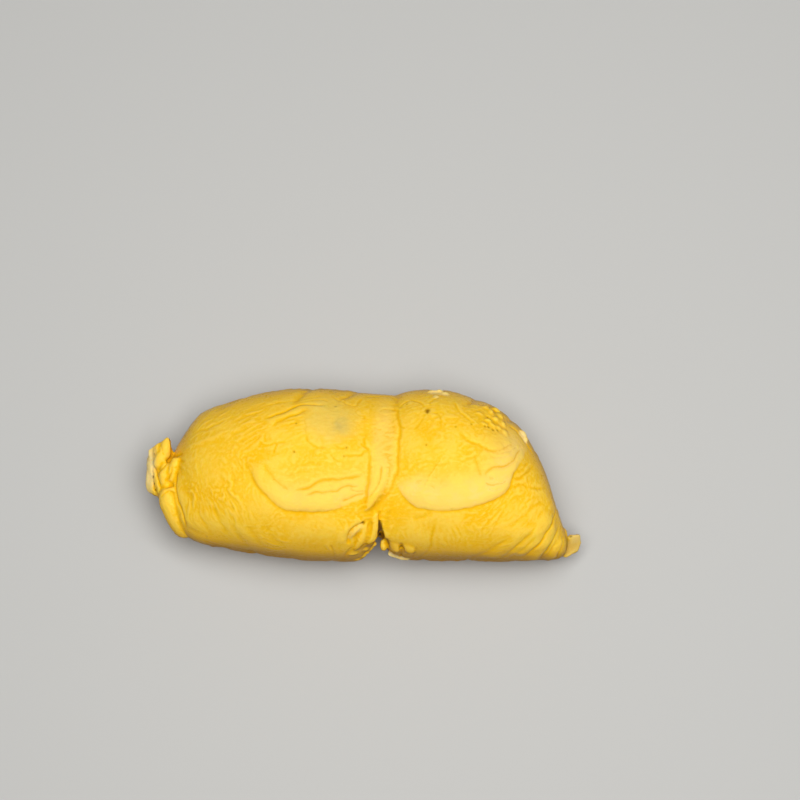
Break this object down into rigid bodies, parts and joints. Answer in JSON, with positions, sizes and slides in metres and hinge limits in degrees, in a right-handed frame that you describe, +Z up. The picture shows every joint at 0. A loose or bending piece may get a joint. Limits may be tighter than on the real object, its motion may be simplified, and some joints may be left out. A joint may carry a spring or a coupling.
{
  "type": "durian flesh segment",
  "caption": "Peeled durian flesh: plump lobes joined end to end, with crescent skin folds, a torn front cleft and a knotted end, lying on its side on a small flat spot.",
  "frame": {"origin": "centre of the bounding box, on the surface the segment rests on", "axes": "+X along the segment's length from its knotted end to its low tapered end, +Y away from the cleft's open side, +Z up"},
  "size_m": [0.1376, 0.0546, 0.0453],
  "materials": {
    "durian_flesh": "soft moist satin"
  },
  "bodies": {
    "root": {"durian_flesh": "durian_flesh"}
  },
  "joints": []
}
